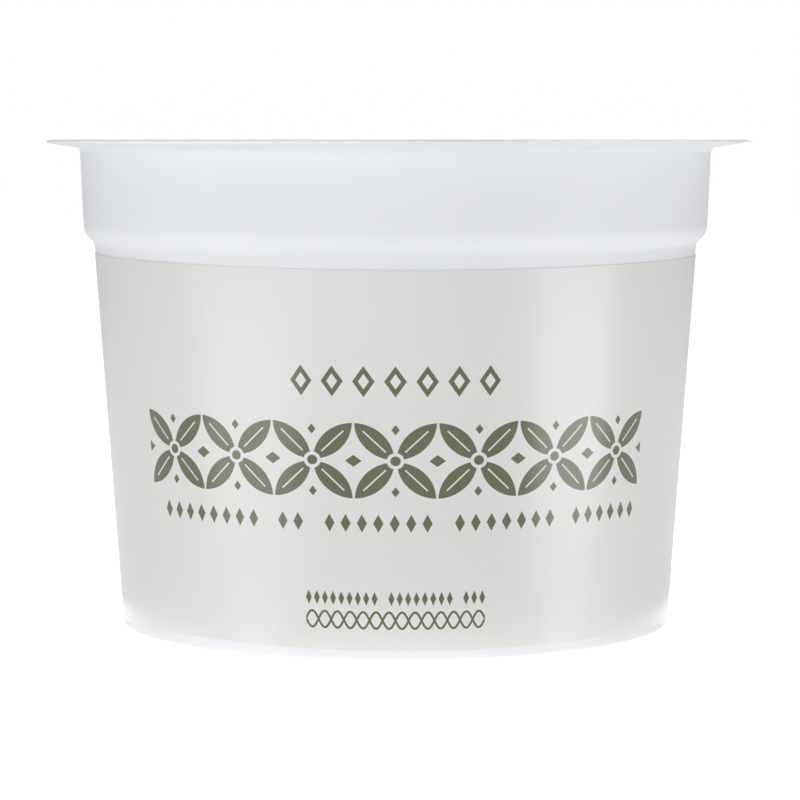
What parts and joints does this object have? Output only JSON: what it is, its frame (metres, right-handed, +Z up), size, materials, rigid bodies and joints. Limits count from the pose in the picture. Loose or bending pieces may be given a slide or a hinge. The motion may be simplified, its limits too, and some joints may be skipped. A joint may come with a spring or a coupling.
{
  "type": "sealed burrata tub",
  "caption": "Round tapered white plastic tub of fresh cheese, shut with a peel-off film lid with a pull tab and wrapped in a printed label.",
  "frame": {"origin": "middle of the base, on the plane that the tub stands on", "axes": "+Z up along the tub's axis; the front of the tub, where the middle of the label is, faces -Y; +X to its right as seen from the front; the pull tab points between +X and +Y"},
  "size_m": [0.0963, 0.0962, 0.0663],
  "materials": {
    "tub_plastic": "satin white moulded plastic, faintly see-through at thin edges",
    "label_paper": "satin coated warm grey label with olive print",
    "lid_film": "satin white film with a pressed seal ring"
  },
  "bodies": {
    "root": {"tub": "tub_plastic", "label": "label_paper", "lid_film": "lid_film"}
  },
  "joints": []
}
